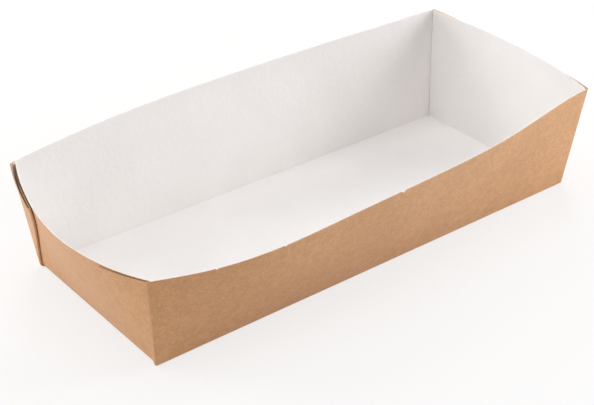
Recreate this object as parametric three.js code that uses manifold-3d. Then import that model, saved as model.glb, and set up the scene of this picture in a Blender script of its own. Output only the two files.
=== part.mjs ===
// A paper food tray folded from one sheet of board, brown kraft outside and white inside.
// Lengths are in millimetres: X runs along the tray, Y across it, and Z up from the table.
// Every wall is a straight-ruled surface from its floor crease to a rim that bows outwards.
// At each corner the sheet isn't cut: it is pleated, and the pleat lies against the outside of
// the end wall in two layers, joined to each other along a slanting fold.
import * as THREE from "three";
import { mergeVertices } from "three/addons/utils/BufferGeometryUtils.js";
import Module from "manifold-3d";

// The board, and the creases that were pressed into it
const BOARD_THICKNESS = 0.4;
const FLOOR_CREASE_RADIUS = 0.8;
const CORNER_CREASE_RADIUS = 0.5;

// The floor, from crease to crease
const FLOOR_LENGTH = 200;
const FLOOR_WIDTH = 80;

// The rim: its height at the corners, and how far it dips and bows between them
const CORNER_HEIGHT = 44;
const SIDE_DIP = 1.8;
const END_DIP = 3.1;
const SIDE_BOW = 9.7;
const END_BOW = 10;
const SIDE_LEAN = 5;
const END_LEAN = 3.4;

// The unevenness of a tray folded by hand: the long walls bow more towards the -X end,
// and the rim climbs a little towards the +X end and towards the +Y side
const SIDE_BOW_SKEW = 0.5;
const CLIMB_ALONG = 3;
const CLIMB_ACROSS = 2.5;

// The corner pleats: how far the slanting fold stands from the corner at the rim, measured across
// the tray, how long the layers still are at the floor, and how far their edge ends below the rim
const PLEAT_REACH = 25.5;
const SHORTEST_LAYER = 0.2;
const PLEAT_RIM_DROP = 0.8;
const PRESSED_GAP = 0.3;
const LOOSE_GAP = 0.55;

// How finely the curved forms are divided
const SIDE_STEPS = 20;
const END_STEPS = 12;
const PLEAT_STEPS = 5;
const FOLD_STEPS = 4;
const CORNER_STEPS = 3;
const WALL_STEPS = 4;
const CREASE_STEPS = 2;

const BROWN_KRAFT = 0xbd8c62;
const BOARD_ROUGHNESS = 0.85;

const HALF_BOARD = BOARD_THICKNESS / 2;
const RIGHT_ANGLE = Math.PI / 2;

// Levels from the table to the rim. In the floor crease a level has a height of its own and stands
// in from the crease line. On the wall it is a share of the way up, the same all round.
function trayLevels() {
  const boardTurn = Math.acos(1 - BOARD_THICKNESS / FLOOR_CREASE_RADIUS);
  const turns = [];
  for (let i = 0; i < CREASE_STEPS; i++) turns.push((boardTurn * i) / CREASE_STEPS);
  for (let i = 0; i <= CREASE_STEPS; i++)
    turns.push(boardTurn + ((RIGHT_ANGLE - boardTurn) * i) / CREASE_STEPS);
  const levels = turns.map((turn) => ({
    height: FLOOR_CREASE_RADIUS * (1 - Math.cos(turn)),
    inset: FLOOR_CREASE_RADIUS * (1 - Math.sin(turn)),
    share: 0,
    besideFloor: turn <= boardTurn,
  }));
  for (let i = 1; i <= WALL_STEPS; i++)
    levels.push({ height: FLOOR_CREASE_RADIUS, inset: 0, share: i / WALL_STEPS });
  return levels;
}

// Where a wall's own rim stands: along runs from -1 to 1 along X, across from -1 to 1 along Y
const cornerHeight = (along, across) =>
  CORNER_HEIGHT + CLIMB_ALONG * along + CLIMB_ACROSS * across;
const sideFullness = (along) => (1 - along * along) * (1 - SIDE_BOW_SKEW * along);
const sideFullnessSlope = (along) =>
  -2 * along * (1 - SIDE_BOW_SKEW * along) - SIDE_BOW_SKEW * (1 - along * along);
const endFullness = (across) => 1 - across * across;
const endFullnessSlope = (across) => -2 * across;

const halfLength = (level) => FLOOR_LENGTH / 2 - level.inset + level.share * END_LEAN;
const halfWidth = (level) => FLOOR_WIDTH / 2 - level.inset + level.share * SIDE_LEAN;

function levelHeight(level, rimHeight) {
  return level.height + level.share * (rimHeight - FLOOR_CREASE_RADIUS);
}

// A point in the middle of the board of the long wall on one side (-1 or 1 along Y)
function sidePoint(side, along, level) {
  const bow = level.share * SIDE_BOW * sideFullness(along);
  const rim = cornerHeight(along, side) - SIDE_DIP * sideFullness(along);
  return new THREE.Vector3(
    along * halfLength(level),
    side * (halfWidth(level) + bow),
    levelHeight(level, rim),
  );
}

// A point in the middle of the board of the end wall at one end (-1 or 1 along X), or of a
// layer that lies the given distance outside it and ends the given drop below its rim
function endPoint(end, across, level, outside = 0, drop = 0) {
  const bow = level.share * END_BOW * endFullness(across);
  const rim = cornerHeight(end, across) - END_DIP * endFullness(across) - drop;
  const point = new THREE.Vector3(
    end * (halfLength(level) + bow),
    across * halfWidth(level),
    levelHeight(level, rim),
  );
  return point.addScaledVector(endNormal(end, across, level), outside);
}

// Level directions on the end wall: towards +Y along it, and straight out of it
function endDirection(end, across, level) {
  const slope = level.share * END_BOW * endFullnessSlope(across);
  return new THREE.Vector3(end * slope, halfWidth(level), 0).normalize();
}

function endNormal(end, across, level) {
  const { x, y } = endDirection(end, across, level);
  return new THREE.Vector3(end * y, -end * x, 0);
}

// The level direction in which the long wall runs out at its corner
function sideExit(end, side, level) {
  const slope = level.share * SIDE_BOW * sideFullnessSlope(end);
  return new THREE.Vector3(halfLength(level), side * slope, 0).normalize().multiplyScalar(end);
}

// One pleated corner at one level, from the long wall round to the end wall: the corner crease,
// the outer layer, the slanting fold, the inner layer and the fold back into the end wall
function pleat(end, side, level) {
  const gap = end < 0 && side > 0 ? LOOSE_GAP : PRESSED_GAP;
  const inner = BOARD_THICKNESS + gap;
  const outer = 2 * inner;
  const foldRadius = inner / 2;
  const width = halfWidth(level);
  const exit = sideExit(end, side, level);
  const outwards = endNormal(end, side, level);
  const cosine = exit.dot(outwards);
  const openness = Math.acos(cosine);
  const wallStep = endDirection(end, side, level).y;
  const at = (reach) => side * (1 - reach / width);

  // The corner crease, rounded between the long wall and the outer layer
  const corner = sidePoint(side, end, level);
  const tangent = CORNER_CREASE_RADIUS * Math.tan((RIGHT_ANGLE - openness) / 2);
  const outerStart = (outer * Math.tan(openness) + tangent) * wallStep;
  const crease = corner.clone().addScaledVector(exit, outer / cosine);
  const arrive = crease.clone().addScaledVector(exit, -tangent);
  const leave = endPoint(end, at(outerStart), level, outer);
  const curve = new THREE.QuadraticBezierCurve3(arrive, crease, leave);
  const points = curve.getPoints(CORNER_STEPS).slice(0, -1);

  // The two layers, which are as long at each level as the slanting fold allows, and the fold
  // into the end wall, which stays clear of the long wall by the same gap
  const clearance = BOARD_THICKNESS + gap + foldRadius * (1 + Math.sin(openness));
  const turnAt = (clearance / cosine) * wallStep;
  const shortest = turnAt + SHORTEST_LAYER;
  const foldAt = shortest + (PLEAT_REACH - shortest) * level.share;
  for (let i = 0; i <= PLEAT_STEPS; i++) {
    const share = i / PLEAT_STEPS;
    const reach = outerStart + (foldAt - outerStart) * share;
    points.push(endPoint(end, at(reach), level, outer, PLEAT_RIM_DROP * share));
  }
  const slantCentre = { across: at(foldAt), outside: (inner + outer) / 2 };
  points.push(...fold(end, level, slantCentre, foldRadius, -side, PLEAT_RIM_DROP));
  for (let i = 0; i <= PLEAT_STEPS; i++) {
    const reach = foldAt + (turnAt - foldAt) * (i / PLEAT_STEPS);
    points.push(endPoint(end, at(reach), level, inner, PLEAT_RIM_DROP));
  }
  const turnCentre = { across: at(turnAt), outside: inner / 2 };
  points.push(...fold(end, level, turnCentre, foldRadius, side, 0));
  return { points, wallStart: Math.abs(at(turnAt)) };
}

// The points between the two ends of a fold flat back on itself, from its outer layer to its
// inner one. Its edge at the rim goes from the pleat's drop to the given one.
function fold(end, level, { across, outside }, radius, towards, lastDrop) {
  const outwards = endNormal(end, across, level);
  const tip = endDirection(end, across, level).multiplyScalar(towards);
  const points = [];
  for (let i = 1; i < FOLD_STEPS; i++) {
    const share = i / FOLD_STEPS;
    const drop = PLEAT_RIM_DROP + (lastDrop - PLEAT_RIM_DROP) * share;
    const point = endPoint(end, across, level, outside, drop);
    point.addScaledVector(outwards, radius * Math.cos(Math.PI * share));
    point.addScaledVector(tip, radius * Math.sin(Math.PI * share));
    points.push(point);
  }
  return points;
}

// The middle of the board all round the tray at one level, anticlockwise seen from above
function boardLoop(level) {
  const loop = [];
  const pleats = new Map();
  for (const end of [-1, 1])
    for (const side of [-1, 1]) pleats.set(end + 2 * side, pleat(end, side, level));

  // One half turn: the long wall on this side, its far corner, the end wall and the next corner
  for (const side of [-1, 1]) {
    const end = -side;
    for (let i = 0; i <= SIDE_STEPS; i++)
      loop.push(sidePoint(side, end * ((2 * i) / SIDE_STEPS - 1), level));
    const first = pleats.get(end + 2 * side);
    const second = pleats.get(end - 2 * side);
    const from = side * first.wallStart;
    const to = -side * second.wallStart;
    loop.push(...first.points);
    for (let i = 0; i <= END_STEPS; i++)
      loop.push(endPoint(end, from + ((to - from) * i) / END_STEPS, level));
    loop.push(...[...second.points].reverse());
  }
  return loop;
}

// The loop moved sideways by the given distance, outwards where it is positive
function offsetLoop(loop, distance) {
  return loop.map((point, i) => {
    const before = loop[(i + loop.length - 1) % loop.length];
    const after = loop[(i + 1) % loop.length];
    const arriving = new THREE.Vector2(point.x - before.x, point.y - before.y).normalize();
    const leaving = new THREE.Vector2(after.x - point.x, after.y - point.y).normalize();
    const heading = arriving.clone().add(leaving).normalize();
    const reach = distance / heading.dot(arriving);
    return new THREE.Vector3(point.x + heading.y * reach, point.y - heading.x * reach, point.z);
  });
}

// A closed indexed mesh from its points and the corners of its triangles
function meshGeometry(points, triangles) {
  const geometry = new THREE.BufferGeometry().setFromPoints(points);
  geometry.setIndex(triangles);
  return geometry;
}

// The walls and pleats: a strip with a brown and a white skin, closed along both its edges
function wallStrip(loops) {
  const outer = loops.map((loop) => offsetLoop(loop, HALF_BOARD));
  const inner = loops.map((loop) => offsetLoop(loop, -HALF_BOARD));
  const count = loops[0].length;
  const top = loops.length - 1;
  const innerStart = loops.length * count;
  const triangles = [];
  const quad = (a, b, c, d) => triangles.push(a, b, c, a, c, d);
  for (let i = 0; i < count; i++) {
    const next = (i + 1) % count;
    for (let j = 0; j < top; j++) {
      const low = j * count;
      const high = low + count;
      quad(low + i, low + next, high + next, high + i);
      const lowIn = innerStart + low;
      const highIn = innerStart + high;
      quad(lowIn + next, lowIn + i, highIn + i, highIn + next);
    }
    const rim = top * count;
    quad(rim + i, rim + next, innerStart + rim + next, innerStart + rim + i);
    quad(next, i, innerStart + i, innerStart + next);
  }
  return meshGeometry([...outer.flat(), ...inner.flat()], triangles);
}

// The floor: a plate as thick as the board, whose edge runs in the middle of the crease
function floorPlate(levels) {
  const rings = levels.filter((level) => level.besideFloor);
  const corners = [
    [-1, -1],
    [1, -1],
    [1, 1],
    [-1, 1],
  ];
  const points = rings.flatMap((level) =>
    corners.map(
      ([end, side]) =>
        new THREE.Vector3(end * halfLength(level), side * halfWidth(level), level.height),
    ),
  );
  const top = (rings.length - 1) * corners.length;
  const triangles = [0, 2, 1, 0, 3, 2, top, top + 1, top + 2, top, top + 2, top + 3];
  for (let j = 0; j < top; j += corners.length)
    for (let i = 0; i < corners.length; i++) {
      const next = (i + 1) % corners.length;
      const high = j + corners.length;
      triangles.push(j + i, j + next, high + next, j + i, high + next, high + i);
    }
  return meshGeometry(points, triangles);
}

const wasm = await Module();
wasm.setup();

function solidOf(geometry) {
  const merged = mergeVertices(geometry);
  const vertProperties = merged.attributes.position.array;
  const triVerts = new Uint32Array(merged.index.array);
  return new wasm.Manifold(new wasm.Mesh({ numProp: 3, vertProperties, triVerts }));
}

function geometryOf(solid) {
  const { vertProperties, triVerts } = solid.getMesh();
  const geometry = new THREE.BufferGeometry();
  geometry.setAttribute("position", new THREE.BufferAttribute(vertProperties, 3));
  geometry.setIndex(new THREE.BufferAttribute(triVerts, 1));
  geometry.computeVertexNormals();
  return geometry;
}

function foldedBoard() {
  const levels = trayLevels();
  const walls = solidOf(wallStrip(levels.map(boardLoop)));
  return geometryOf(walls.add(solidOf(floorPlate(levels))));
}

const trayBoard = new THREE.Mesh(
  foldedBoard(),
  new THREE.MeshStandardMaterial({
    color: BROWN_KRAFT,
    roughness: BOARD_ROUGHNESS,
    metalness: 0,
  }),
);
trayBoard.name = "tray_board";

const tray = new THREE.Group();
tray.add(trayBoard);

export default tray;
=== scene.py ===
# The looks of a paper food tray folded from one sheet of board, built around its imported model.
# Lengths of the tray are in millimetres up to the moment its mesh is made, which is in metres.
import math
from collections import namedtuple
import bpy
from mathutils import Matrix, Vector
from mathutils.geometry import tessellate_polygon


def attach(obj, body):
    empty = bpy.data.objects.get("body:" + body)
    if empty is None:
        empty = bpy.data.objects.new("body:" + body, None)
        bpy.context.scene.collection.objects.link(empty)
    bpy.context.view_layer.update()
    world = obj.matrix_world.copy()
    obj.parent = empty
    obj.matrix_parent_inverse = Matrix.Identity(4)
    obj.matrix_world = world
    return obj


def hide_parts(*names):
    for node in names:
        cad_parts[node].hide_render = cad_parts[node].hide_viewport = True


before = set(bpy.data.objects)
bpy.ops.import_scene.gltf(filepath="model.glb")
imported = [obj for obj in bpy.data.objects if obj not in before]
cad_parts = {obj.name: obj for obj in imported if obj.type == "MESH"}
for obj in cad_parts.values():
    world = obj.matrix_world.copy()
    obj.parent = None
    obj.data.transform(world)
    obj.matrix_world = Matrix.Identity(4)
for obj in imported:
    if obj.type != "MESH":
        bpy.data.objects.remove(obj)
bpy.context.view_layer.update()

# The sheet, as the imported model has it
BOARD_THICKNESS = 0.4
FLOOR_CREASE_RADIUS = 0.8
CORNER_CREASE_RADIUS = 0.5
FLOOR_LENGTH = 200
FLOOR_WIDTH = 80
CORNER_HEIGHT = 44
SIDE_DIP = 1.8
END_DIP = 3.1
SIDE_BOW = 9.7
END_BOW = 10
SIDE_LEAN = 5
END_LEAN = 3.4
SIDE_BOW_SKEW = 0.5
CLIMB_ALONG = 3
CLIMB_ACROSS = 2.5
PLEAT_REACH = 25.5
SHORTEST_LAYER = 0.2
PLEAT_RIM_DROP = 0.8
PRESSED_GAP = 0.3
LOOSE_GAP = 0.55

# Small things that only the eye needs, from here to the nicks. The walls ripple inwards a little:
# two waves along a wall, of which the smaller one slants as it rises.
RIPPLE = 0.3
RIPPLE_RATE = 7.3
SMALL_RIPPLE_RATE = 12.1
SMALL_RIPPLE = 0.6
SMALL_RIPPLE_SLANT = 2.5
SIDE_PHASE = 1.3
END_PHASE = 2.1

# The rim of the -Y wall waves up and down, and a high power holds it still at the corners
RIM_WAVE = 1.3
RIM_WAVE_RATE = 5
RIM_WAVE_CREST = -0.13
RIM_WAVE_POWER = 8

# The pleat at -X and -Y is shorter, and the fold of the loose one at -X and +Y curves
SHORT_PLEAT_REACH = 20.4
FOLD_SLANT = 1.5

# Shares of a pleat's gap: what is left of it at the floor, at the fold of a pressed pleat and of
# the loose one, and all over the pleats of the +X end. Last, the gap beside the long wall, in mm.
GAP_AT_FLOOR = 0.1
PRESSED_AT_FOLD = 0.2
LOOSE_AT_FOLD = 0.7
TIGHT_END = 0.35
SEAM_GAP = 0.03

# The rim of a pleat's hidden layer is cut lower near the corner: how much, over which share of
# the layer, and how steeply it starts and ends
NOTCH_DROP = 2.2
NOTCH_SHARE = 0.45
NOTCH_STEP = 0.03

# Nicks of the cutting die in the rim of the -Y wall: place along the wall, width, depth
RIM_NICKS = ((-0.788, 1.0, 0.35), (-0.538, 1.1, 0.4), (-0.037, 2.2, 0.7))

# The outline of a nick, as shares of half its width and of its depth, and how many half widths
# the even steps of the wall keep away from it
NICK_SHAPE = ((-1, 0), (-0.5, 1), (1 / 3, 0.7), (1, 0))
NICK_CLEARANCE = 1.5

# How finely the curved forms are divided
SIDE_STEPS = 110
END_STEPS = 44
PLEAT_STEPS = 30
FOLD_STEPS = 8
CORNER_STEPS = 6
WALL_STEPS = 30
CREASE_STEPS = 4

HALF_BOARD = BOARD_THICKNESS / 2
RIGHT_ANGLE = math.pi / 2
MM = 0.001
SHARP_ANGLE = math.radians(40)

# The crease value all over a pleat, where a crease has 1 and a plain wall 0. It is below the
# range that wears the kraft, and brings in the painted shade on the cut edge in the pleats
IN_PLEAT = 0.5

# The camera of the photograph: where it looks, from which side, how far off, and its lens
CAMERA_TARGET = Vector((0.0041, 0.016, 0))
CAMERA_AZIMUTH = math.radians(-38.37)
CAMERA_ELEVATION = math.radians(30.59)
CAMERA_DISTANCE = 0.5435
FOCAL_PIXELS = 1331.2
PHOTO_WIDTH = 594
SENSOR_WIDTH = 36
CAMERA_CLIP_START = 0.01

# Colours, linear
KRAFT = (0.63, 0.34, 0.15, 1)
KRAFT_DARK = (0.48, 0.226, 0.082, 1)
KRAFT_FIBRE = (0.74, 0.47, 0.27, 1)
KRAFT_WORN = (0.72, 0.45, 0.25, 1)
WHITE_BOARD = (0.85, 0.825, 0.812, 1)
WHITE_SHADE = (0.81, 0.782, 0.77, 1)
CUT_EDGE = (0.83, 0.8, 0.76, 1)
CUT_EDGE_DARK = (0.72, 0.66, 0.58, 1)
# Painted shade: the cut edge in the pleats, darkened to brown where shade falls between layers
SHADED_PLEAT_EDGE = (0.5, 0.29, 0.15, 1)
PAPER_WHITE = (1, 1, 1, 1)
FLOOR_WHITE = (0.82, 0.8, 0.795, 1)

# Speckles: the scale of a noise per metre, its detail and roughness, the range of it that shows,
# and how strongly it shows
Speckle = namedtuple("Speckle", "scale detail roughness low high amount")
KRAFT_CLOUDS = Speckle(30, 3, 0.5, 0.3, 0.62, 1)
KRAFT_MOTTLE = Speckle(330, 4, 0.62, 0.42, 0.62, 0.42)
KRAFT_FIBRES = Speckle(1, 2, 0.5, 0.5, 0.72, 0.42)
KRAFT_GRAIN = Speckle(1500, 2, 0.6, 0.48, 0.66, 0.45)
KRAFT_CHAFING = Speckle(700, 3, 0.5, 0.35, 0.75, 0.35)
WHITE_CLOUDS = Speckle(30, 3, 0.5, 0.3, 0.7, 1)
WHITE_SPECKS = Speckle(800, 1, 0.5, 0.72, 0.8, 0.3)
WHITE_GLOSS = Speckle(160, 3, 0.5, 0.3, 0.7, 1)
EDGE_LAYERS = Speckle(1100, 3, 0.5, 0.35, 0.65, 1)

# How much of the dark clouds goes back to the plain kraft colour
CLOUD_FADE = 0.75

# The stretch of the fibre noise, for fibres along the tray and for upright ones
FIBRE_STRETCHES = ((450, 3200, 3200), (3200, 3200, 450))

# The range of the crease value that pales the kraft with wear, and the range that browns
# the cut edge in the pleats with painted shade
CREASE_WEAR = (0.75, 1)
PLEAT_SHADE_RANGE = (0.1, 0.4)

# Bumps: scale, detail and roughness of a noise, its strength, and its depth in metres
KRAFT_BUMPS = (
    (34, 2, 0.5, 0.3, 0.0006),
    (420, 3, 0.5, 0.4, 0.00018),
    (1500, 3, 0.6, 0.4, 0.0001),
)
WHITE_BUMPS = (
    (40, 2, 0.5, 0.2, 0.0005),
    (430, 3, 0.6, 0.6, 0.0003),
    (1500, 3, 0.6, 0.4, 0.0001),
)
EDGE_BUMPS = ((2400, 2, 0.5, 0.4, 0.00008),)

# Gloss
KRAFT_ROUGHNESS = (0.7, 0.8)
KRAFT_SPECULAR = 0.6
KRAFT_SHEEN = 0.2
KRAFT_SHEEN_ROUGHNESS = 0.45
WHITE_ROUGHNESS = (0.46, 0.58)
WHITE_SPECULAR = 0.3
EDGE_ROUGHNESS = 0.9
TABLE_ROUGHNESS = 0.8
TABLE_SPECULAR = 0.1

# The table top: half its width, and how far it lies below the tray, in metres
TABLE_REACH = 6
TABLE_DROP = 0.0001

# Lamps: name, place, what it looks at, size across in metres, power in watts, colour
NEUTRAL_LIGHT = (1, 1, 1)
WARM_LIGHT = (1, 0.985, 0.92)
ROSY_LIGHT = (1, 0.97, 0.97)
LAMPS = (
    ("overhead", (0, 0.1, 1.2), (0, 0, 0), 1, 7.2, NEUTRAL_LIGHT),
    ("behind_right", (0.6, 0.8, 0.7), (0, 0, 0), 0.6, 4.8, NEUTRAL_LIGHT),
    ("left", (-0.9, 0.1, 0.35), (0, 0, 0.02), 0.5, 1.95, WARM_LIGHT),
    ("left_grazing", (-0.45, 0.45, 0.25), (-0.1, 0, 0.02), 0.3, 2, NEUTRAL_LIGHT),
    ("right_grazing", (0.55, -0.25, 0.2), (0.1, -0.05, 0.02), 0.3, 2.7, NEUTRAL_LIGHT),
    ("front", (-0.3, -1, 0.6), (0, 0, 0.02), 0.6, 2.2, ROSY_LIGHT),
)
WORLD_LIGHT = 0.15
FLOOR_GLOW = 0.72

# How far from the tray's middle, in metres, the table top starts to fade into the white around
# it, and where it has faded
FADE_START = 0.15
FADE_END = 0.42


def make_camera():
    direction = Vector((
        math.sin(CAMERA_AZIMUTH) * math.cos(CAMERA_ELEVATION),
        -math.cos(CAMERA_AZIMUTH) * math.cos(CAMERA_ELEVATION),
        math.sin(CAMERA_ELEVATION),
    ))
    data = bpy.data.cameras.new("photo_camera")
    data.sensor_fit = "HORIZONTAL"
    data.sensor_width = SENSOR_WIDTH
    data.lens = FOCAL_PIXELS * SENSOR_WIDTH / PHOTO_WIDTH
    data.clip_start = CAMERA_CLIP_START
    camera = bpy.data.objects.new("photo_camera", data)
    camera.location = CAMERA_TARGET + direction * CAMERA_DISTANCE
    camera.rotation_euler = direction.to_track_quat("Z", "Y").to_euler()
    bpy.context.scene.collection.objects.link(camera)
    bpy.context.scene.camera = camera


# The shape of the sheet


def level(height, inset, share, beside_floor=False):
    """One level of the sheet: its height and inset in the floor crease, its share of the way up
    the walls, and whether it lies beside the floor's own thickness."""
    return {"height": height, "inset": inset, "share": share, "beside_floor": beside_floor}


def tray_levels():
    """Levels from the table to the rim: in the floor crease, and then up the walls."""
    board_turn = math.acos(1 - BOARD_THICKNESS / FLOOR_CREASE_RADIUS)
    turns = [board_turn * i / CREASE_STEPS for i in range(CREASE_STEPS)]
    rest = RIGHT_ANGLE - board_turn
    turns += [board_turn + rest * i / CREASE_STEPS for i in range(CREASE_STEPS + 1)]
    levels = [
        level(
            FLOOR_CREASE_RADIUS * (1 - math.cos(turn)),
            FLOOR_CREASE_RADIUS * (1 - math.sin(turn)),
            0,
            turn <= board_turn,
        )
        for turn in turns
    ]
    levels += [level(FLOOR_CREASE_RADIUS, 0, i / WALL_STEPS) for i in range(1, WALL_STEPS + 1)]
    return levels


def corner_height(along, across):
    return CORNER_HEIGHT + CLIMB_ALONG * along + CLIMB_ACROSS * across


def side_fullness(along):
    return (1 - along * along) * (1 - SIDE_BOW_SKEW * along)


def side_fullness_slope(along):
    skew = SIDE_BOW_SKEW
    return -2 * along * (1 - skew * along) - skew * (1 - along * along)


def end_fullness(across):
    return 1 - across * across


def half_length(at):
    return FLOOR_LENGTH / 2 - at["inset"] + at["share"] * END_LEAN


def half_width(at):
    return FLOOR_WIDTH / 2 - at["inset"] + at["share"] * SIDE_LEAN


def level_height(at, rim_height):
    return at["height"] + at["share"] * (rim_height - FLOOR_CREASE_RADIUS)


def ripple(place, share, phase):
    """How far a wall stands in from its even form: nothing at the floor and at the corners."""
    wave = math.sin(RIPPLE_RATE * place + phase)
    slant = SMALL_RIPPLE_SLANT * share - 2 * phase
    small_wave = SMALL_RIPPLE * math.sin(SMALL_RIPPLE_RATE * place + slant)
    fullness = (1 + (wave + small_wave) / (1 + SMALL_RIPPLE)) / 2
    return RIPPLE * share * (1 - place * place) * fullness


def side_point(side, along, at):
    share = at["share"]
    bow = share * SIDE_BOW * side_fullness(along) - ripple(along, share, SIDE_PHASE * side)
    rim = corner_height(along, side) - SIDE_DIP * side_fullness(along)
    if side < 0:
        wave = math.cos(RIM_WAVE_RATE * (along - RIM_WAVE_CREST))
        rim += RIM_WAVE * (1 - along ** RIM_WAVE_POWER) * wave
    across = side * (half_width(at) + bow)
    return Vector((along * half_length(at), across, level_height(at, rim)))


def end_rim(end, across):
    return corner_height(end, across) - END_DIP * end_fullness(across)


def cut_lower(at, end, across, drop):
    """The level of a layer whose rim is cut lower, so that the rest of it stays in its surface."""
    kept = 1 - drop / (end_rim(end, across) - FLOOR_CREASE_RADIUS)
    return level(at["height"], at["inset"], at["share"] * kept, at["beside_floor"])


def end_point(end, across, at, outside=0, drop=0):
    """A place on an end wall, or on a layer that lies outside it and is cut lower by a drop."""
    at = cut_lower(at, end, across, drop)
    share = at["share"]
    bow = share * END_BOW * end_fullness(across) - ripple(across, share, END_PHASE * end)
    rim = end_rim(end, across)
    point = Vector((end * (half_length(at) + bow), across * half_width(at), level_height(at, rim)))
    return point + end_normal(end, across, at) * outside


def end_direction(end, across, at):
    slope = -2 * across * at["share"] * END_BOW
    return Vector((end * slope, half_width(at), 0)).normalized()


def end_normal(end, across, at):
    direction = end_direction(end, across, at)
    return Vector((end * direction.y, -end * direction.x, 0))


def side_exit(end, side, at):
    slope = at["share"] * SIDE_BOW * side_fullness_slope(end)
    return Vector((half_length(at), side * slope, 0)).normalized() * end


def fold(end, at, across, outside, radius, towards, first_drop, last_drop):
    """The points between the two ends of a fold flat back on itself."""
    outwards = end_normal(end, across, at)
    tip = end_direction(end, across, at) * towards
    points = []
    for i in range(1, FOLD_STEPS):
        share = i / FOLD_STEPS
        drop = first_drop + (last_drop - first_drop) * share
        point = end_point(end, across, at, outside, drop)
        turn = math.pi * share
        points.append(point + outwards * radius * math.cos(turn) + tip * radius * math.sin(turn))
    return points


def pleat(end, side, at):
    """One pleated corner at one level, and where its end wall starts. Each point comes with its
    crease value: 1 on a crease, where it wears the kraft, and a part of that all over the pleat,
    where it paints shade onto the cut edge."""
    share = at["share"]
    loose = end < 0 < side
    gap = LOOSE_GAP if loose else PRESSED_GAP * (TIGHT_END if end > 0 else 1)
    gap *= GAP_AT_FLOOR + (1 - GAP_AT_FLOOR) * share
    longest = SHORT_PLEAT_REACH if end < 0 and side < 0 else PLEAT_REACH
    inner = BOARD_THICKNESS + gap
    outer = 2 * inner
    radius = inner / 2
    inner_fold = BOARD_THICKNESS + gap * (LOOSE_AT_FOLD if loose else PRESSED_AT_FOLD)
    outer_fold = 2 * inner_fold
    exit_way = side_exit(end, side, at)
    cosine = exit_way.dot(end_normal(end, side, at))
    openness = math.acos(min(1, cosine))
    wall_step = end_direction(end, side, at).y

    def across(reach):
        return side * (1 - reach / half_width(at))

    tangent = CORNER_CREASE_RADIUS * math.tan((RIGHT_ANGLE - openness) / 2)
    outer_start = (outer * math.tan(openness) + tangent) * wall_step
    crease = side_point(side, end, at) + exit_way * (outer / cosine)
    arrive = crease - exit_way * tangent
    leave = end_point(end, across(outer_start), at, outer)
    points = []
    for i in range(CORNER_STEPS):
        t = i / CORNER_STEPS
        bend = arrive * (1 - t) ** 2 + crease * (2 * t * (1 - t)) + leave * t ** 2
        points.append((bend, 1))

    clearance = BOARD_THICKNESS + SEAM_GAP + radius * (1 + math.sin(openness))
    turn_at = clearance / cosine * wall_step
    shortest = turn_at + SHORTEST_LAYER
    fold_at = shortest + (longest - shortest) * share ** (FOLD_SLANT if loose else 1)
    for i in range(PLEAT_STEPS + 1):
        t = i / PLEAT_STEPS
        reach = outer_start + (fold_at - outer_start) * t
        outside = outer + (outer_fold - outer) * t
        point = end_point(end, across(reach), at, outside, PLEAT_RIM_DROP * t)
        points.append((point, 1 if i in (0, PLEAT_STEPS) else IN_PLEAT))
    middle = (inner_fold + outer_fold) / 2
    tip = inner_fold / 2
    slant = fold(end, at, across(fold_at), middle, tip, -side, PLEAT_RIM_DROP, PLEAT_RIM_DROP)
    points += [(point, 1) for point in slant]
    for i in range(PLEAT_STEPS + 1):
        t = i / PLEAT_STEPS
        reach = fold_at + (turn_at - fold_at) * t
        into_notch = (t - 1 + NOTCH_SHARE) / NOTCH_STEP
        out_of_notch = (1 - t) / NOTCH_STEP
        notch = NOTCH_DROP * max(0, min(1, into_notch, out_of_notch))
        outside = inner_fold + (inner - inner_fold) * t
        point = end_point(end, across(reach), at, outside, PLEAT_RIM_DROP + notch)
        points.append((point, IN_PLEAT))
    turn = fold(end, at, across(turn_at), inner / 2, radius, side, PLEAT_RIM_DROP, 0)
    points += [(point, IN_PLEAT) for point in turn]
    return points, abs(across(turn_at))


def side_places(side):
    """Places along a long wall, with how far its rim is nicked at each."""
    places = [(2 * i / SIDE_STEPS - 1, 0) for i in range(SIDE_STEPS + 1)]
    if side > 0:
        return places
    half = FLOOR_LENGTH / 2
    for middle, width, depth in RIM_NICKS:
        reach = width / 2 / half
        places = [p for p in places if abs(p[0] - middle) > NICK_CLEARANCE * reach]
        places += [(middle + place * reach, depth * share) for place, share in NICK_SHAPE]
    return sorted(places)


def board_loop(at):
    """The middle of the board all round at one level, anticlockwise seen from above."""
    loop = []
    for side in (-1, 1):
        end = -side
        places = side_places(side)
        for along, nick in places if end > 0 else places[::-1]:
            point = side_point(side, along, at)
            if at["share"] == 1:
                point.z -= nick
            loop.append((point, 0))
        first, first_start = pleat(end, side, at)
        second, second_start = pleat(end, -side, at)
        low, high = side * first_start, -side * second_start
        loop += first
        for i in range(END_STEPS + 1):
            loop.append((end_point(end, low + (high - low) * i / END_STEPS, at), 0))
        loop += second[::-1]
    return loop


def offset_loop(points, distance):
    """The loop moved level and sideways, outwards where the distance is positive."""
    moved = []
    for i, point in enumerate(points):
        before, after = points[i - 1], points[(i + 1) % len(points)]
        arriving = (point - before).to_2d().normalized()
        leaving = (after - point).to_2d().normalized()
        heading = (arriving + leaving).normalized()
        reach = distance / heading.dot(arriving)
        moved.append(point + Vector((heading.y, -heading.x, 0)) * reach)
    return moved


KRAFT_SLOT, WHITE_SLOT, EDGE_SLOT = 0, 1, 2


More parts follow.
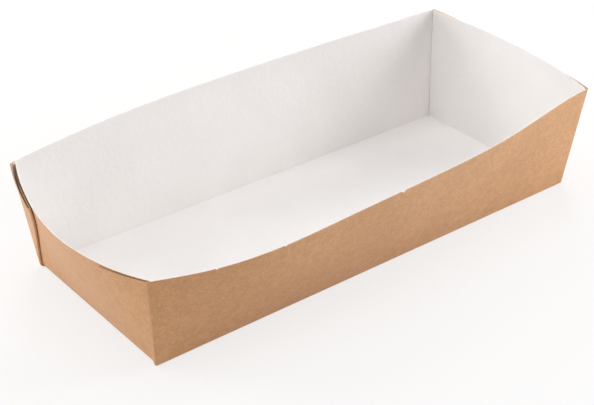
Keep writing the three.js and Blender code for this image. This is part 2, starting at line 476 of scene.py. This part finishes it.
def make_tray():
    """The sheet as one closed mesh: a brown and a white skin that meet in the cut edge at the rim,
    and a floor that closes them below."""
    levels = tray_levels()
    loops = [board_loop(at) for at in levels]
    count = len(loops[0])
    floor_row = max(i for i, at in enumerate(levels) if at["beside_floor"])
    top = len(levels) - 1
    vertices, crease = [], []
    outer_rows, inner_rows = [], []
    for row, (at, loop) in enumerate(zip(levels, loops)):
        points = [point for point, _ in loop]
        # The crease value: wear of the kraft on creases, and painted shade on the cut edge in
        # pleats
        floor_crease = 1 if at["share"] == 0 else 0
        outer_rows.append(len(vertices))
        vertices += offset_loop(points, HALF_BOARD)
        crease += [max(worn, floor_crease) for _, worn in loop]
        inner_rows.append(len(vertices) if row >= floor_row else None)
        if row >= floor_row:
            vertices += offset_loop(points, -HALF_BOARD)
            crease += [max(worn, floor_crease) for _, worn in loop]

    faces, slots = [], []

    def add(face, slot):
        faces.append(face)
        slots.append(slot)

    for i in range(count):
        after = (i + 1) % count
        for row in range(top):
            low, high = outer_rows[row], outer_rows[row + 1]
            add((low + i, low + after, high + after, high + i), KRAFT_SLOT)
            if row >= floor_row:
                low, high = inner_rows[row], inner_rows[row + 1]
                add((low + after, low + i, high + i, high + after), WHITE_SLOT)
        rim, rim_in = outer_rows[top], inner_rows[top]
        add((rim + i, rim + after, rim_in + after, rim_in + i), EDGE_SLOT)

    floor_sides = (
        (outer_rows[0], KRAFT_SLOT, False),
        (inner_rows[floor_row], WHITE_SLOT, True),
    )
    for start, slot, up in floor_sides:
        ring = vertices[start:start + count]
        for a, b, c in tessellate_polygon([ring]):
            normal = (ring[b] - ring[a]).cross(ring[c] - ring[a])
            corners = (a, b, c) if (normal.z > 0) == up else (a, c, b)
            add(tuple(start + corner for corner in corners), slot)

    mesh = bpy.data.meshes.new("tray_sheet")
    mesh.from_pydata([tuple(v * MM) for v in vertices], [], faces)
    mesh.polygons.foreach_set("material_index", slots)
    mesh.polygons.foreach_set("use_smooth", [True] * len(faces))
    # Wear of the kraft on creases, and painted shade on the cut edge in the pleats
    layer = mesh.attributes.new("crease", "FLOAT", "POINT")
    layer.data.foreach_set("value", crease)
    mesh.update()
    mesh.set_sharp_from_angle(angle=SHARP_ANGLE)
    tray = bpy.data.objects.new("tray_sheet", mesh)
    bpy.context.scene.collection.objects.link(tray)
    return tray


# The materials

# The colour sockets of a Mix node, which share their names with its other sockets
MIX_LOW, MIX_HIGH, MIX_RESULT = 6, 7, 2


class Nodes:
    """Short names for building a material's nodes."""

    def __init__(self, name):
        self.material = bpy.data.materials.new(name)
        self.material.use_nodes = True
        self.tree = self.material.node_tree
        self.shader = self.tree.nodes["Principled BSDF"]
        self.output = self.tree.nodes["Material Output"]
        self.place = self.tree.nodes.new("ShaderNodeTexCoord").outputs["Object"]

    def link(self, source, target):
        self.tree.links.new(source, target)

    def stretched(self, scale):
        node = self.tree.nodes.new("ShaderNodeMapping")
        node.inputs["Scale"].default_value = scale
        self.link(self.place, node.inputs["Vector"])
        return node.outputs["Vector"]

    def noise(self, scale, detail, roughness, stretch=None):
        node = self.tree.nodes.new("ShaderNodeTexNoise")
        node.inputs["Scale"].default_value = scale
        node.inputs["Detail"].default_value = detail
        node.inputs["Roughness"].default_value = roughness
        self.link(self.stretched(stretch) if stretch else self.place, node.inputs["Vector"])
        return node.outputs["Fac"]

    def spread(self, value, low, high, out_low=0, out_high=1):
        """Takes the range from low to high to the range from out_low to out_high."""
        node = self.tree.nodes.new("ShaderNodeMapRange")
        limits = {"From Min": low, "From Max": high, "To Min": out_low, "To Max": out_high}
        for name, number in limits.items():
            node.inputs[name].default_value = number
        self.link(value, node.inputs["Value"])
        return node.outputs["Result"]

    def speckle(self, kind, stretch=None):
        noise = self.noise(kind.scale, kind.detail, kind.roughness, stretch)
        return self.spread(noise, kind.low, kind.high, 0, kind.amount)

    def blend(self, factor, low, high):
        node = self.tree.nodes.new("ShaderNodeMix")
        node.data_type = "RGBA"
        self.link(factor, node.inputs["Factor"])
        for colour, socket in ((low, node.inputs[MIX_LOW]), (high, node.inputs[MIX_HIGH])):
            if isinstance(colour, tuple):
                socket.default_value = colour
            else:
                self.link(colour, socket)
        return node.outputs[MIX_RESULT]

    def product(self, first, second):
        node = self.tree.nodes.new("ShaderNodeMath")
        node.operation = "MULTIPLY"
        self.link(first, node.inputs[0])
        self.link(second, node.inputs[1])
        return node.outputs[0]

    def attribute(self, name):
        node = self.tree.nodes.new("ShaderNodeAttribute")
        node.attribute_name = name
        return node.outputs["Fac"]

    def bump(self, height, strength, depth, under=None):
        node = self.tree.nodes.new("ShaderNodeBump")
        node.inputs["Strength"].default_value = strength
        node.inputs["Distance"].default_value = depth
        self.link(height, node.inputs["Height"])
        if under:
            self.link(under, node.inputs["Normal"])
        return node.outputs["Normal"]

    def relief(self, bumps):
        """Lays bumps over one another and gives them to the shader."""
        normal = None
        for scale, detail, roughness, strength, depth in bumps:
            normal = self.bump(self.noise(scale, detail, roughness), strength, depth, normal)
        self.link(normal, self.shader.inputs["Normal"])


def kraft_board():
    n = Nodes("kraft_board")
    clouds = n.speckle(KRAFT_CLOUDS)
    colour = n.blend(clouds, KRAFT_DARK, KRAFT)
    colour = n.blend(n.spread(clouds, 0, 1, CLOUD_FADE, 0), colour, KRAFT)
    colour = n.blend(n.speckle(KRAFT_MOTTLE), colour, KRAFT_DARK)
    for stretch in FIBRE_STRETCHES:
        colour = n.blend(n.speckle(KRAFT_FIBRES, stretch), colour, KRAFT_FIBRE)
    colour = n.blend(n.speckle(KRAFT_GRAIN), colour, KRAFT_DARK)
    creased = n.spread(n.attribute("crease"), *CREASE_WEAR)
    worn = n.product(creased, n.speckle(KRAFT_CHAFING))
    n.link(n.blend(worn, colour, KRAFT_WORN), n.shader.inputs["Base Color"])
    n.link(n.spread(clouds, 0, 1, *KRAFT_ROUGHNESS), n.shader.inputs["Roughness"])
    n.shader.inputs["Specular IOR Level"].default_value = KRAFT_SPECULAR
    n.shader.inputs["Sheen Weight"].default_value = KRAFT_SHEEN
    n.shader.inputs["Sheen Roughness"].default_value = KRAFT_SHEEN_ROUGHNESS
    n.relief(KRAFT_BUMPS)
    return n.material


def white_board():
    n = Nodes("white_board")
    colour = n.blend(n.speckle(WHITE_CLOUDS), WHITE_SHADE, WHITE_BOARD)
    colour = n.blend(n.speckle(WHITE_SPECKS), colour, WHITE_SHADE)
    n.link(colour, n.shader.inputs["Base Color"])
    gloss = n.spread(n.speckle(WHITE_GLOSS), 0, 1, *WHITE_ROUGHNESS)
    n.link(gloss, n.shader.inputs["Roughness"])
    n.shader.inputs["Specular IOR Level"].default_value = WHITE_SPECULAR
    n.relief(WHITE_BUMPS)
    return n.material


def cut_edge():
    """The cut through the board, white beside the walls, and darkened to brown in the pleats:
    painted shade of the gaps between the layers.
    """
    n = Nodes("cut_edge")
    colour = n.blend(n.speckle(EDGE_LAYERS), CUT_EDGE_DARK, CUT_EDGE)
    # Painted shade: the cut edge browns all over the pleats, where shade falls between the layers
    painted_pleat_shade = n.spread(n.attribute("crease"), *PLEAT_SHADE_RANGE)
    n.link(n.blend(painted_pleat_shade, colour, SHADED_PLEAT_EDGE), n.shader.inputs["Base Color"])
    n.shader.inputs["Roughness"].default_value = EDGE_ROUGHNESS
    n.relief(EDGE_BUMPS)
    return n.material


def seen_directly(tree):
    """1 for what the camera sees, straight or in gloss or through glass, and 0 for other light."""
    path = tree.nodes.new("ShaderNodeLightPath")
    total = path.outputs["Is Camera Ray"]
    for name in ("Is Glossy Ray", "Is Transmission Ray"):
        node = tree.nodes.new("ShaderNodeMath")
        node.use_clamp = True
        tree.links.new(total, node.inputs[0])
        tree.links.new(path.outputs[name], node.inputs[1])
        total = node.outputs[0]
    return total


def make_floor():
    """A wide white table top. It glows a little for the camera, keeps the tray's shadow, and
    fades into plain white farther out."""
    n = Nodes("table_white")
    n.shader.inputs["Base Color"].default_value = FLOOR_WHITE
    n.shader.inputs["Roughness"].default_value = TABLE_ROUGHNESS
    n.shader.inputs["Specular IOR Level"].default_value = TABLE_SPECULAR
    glow = n.tree.nodes.new("ShaderNodeEmission")
    glow.inputs["Color"].default_value = PAPER_WHITE
    mix = n.tree.nodes.new("ShaderNodeMixShader")
    distance = n.tree.nodes.new("ShaderNodeVectorMath")
    distance.operation = "LENGTH"
    n.link(n.place, distance.inputs[0])
    faded = n.spread(distance.outputs["Value"], FADE_START, FADE_END, FLOOR_GLOW, 1)
    n.link(n.product(seen_directly(n.tree), faded), mix.inputs["Fac"])
    n.link(n.shader.outputs["BSDF"], mix.inputs[1])
    n.link(glow.outputs["Emission"], mix.inputs[2])
    n.link(mix.outputs["Shader"], n.output.inputs["Surface"])
    mesh = bpy.data.meshes.new("table")
    corners = ((-1, -1), (1, -1), (1, 1), (-1, 1))
    vertices = [(x * TABLE_REACH, y * TABLE_REACH, 0) for x, y in corners]
    mesh.from_pydata(vertices, [], [(0, 1, 2, 3)])
    mesh.materials.append(n.material)
    table = bpy.data.objects.new("table", mesh)
    table.location.z = -TABLE_DROP
    bpy.context.scene.collection.objects.link(table)


def make_world():
    world = bpy.data.worlds.new("studio")
    bpy.context.scene.world = world
    world.use_nodes = True
    tree = world.node_tree
    background = tree.nodes["Background"]
    background.inputs["Color"].default_value = PAPER_WHITE
    strength = tree.nodes.new("ShaderNodeMapRange")
    strength.inputs["To Min"].default_value = WORLD_LIGHT
    strength.inputs["To Max"].default_value = 1
    tree.links.new(seen_directly(tree), strength.inputs["Value"])
    tree.links.new(strength.outputs["Result"], background.inputs["Strength"])


def make_lamps():
    for name, place, target, size, power, colour in LAMPS:
        data = bpy.data.lights.new(name, "AREA")
        data.size = size
        data.energy = power
        data.color = colour
        lamp = bpy.data.objects.new(name, data)
        lamp.location = place
        away = Vector(place) - Vector(target)
        lamp.rotation_euler = away.to_track_quat("Z", "Y").to_euler()
        bpy.context.scene.collection.objects.link(lamp)


make_camera()
tray = make_tray()
for material in (kraft_board(), white_board(), cut_edge()):
    tray.data.materials.append(material)
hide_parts("tray_board")
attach(tray, "root")

make_floor()
make_world()
make_lamps()
bpy.context.scene.view_settings.view_transform = "Standard"
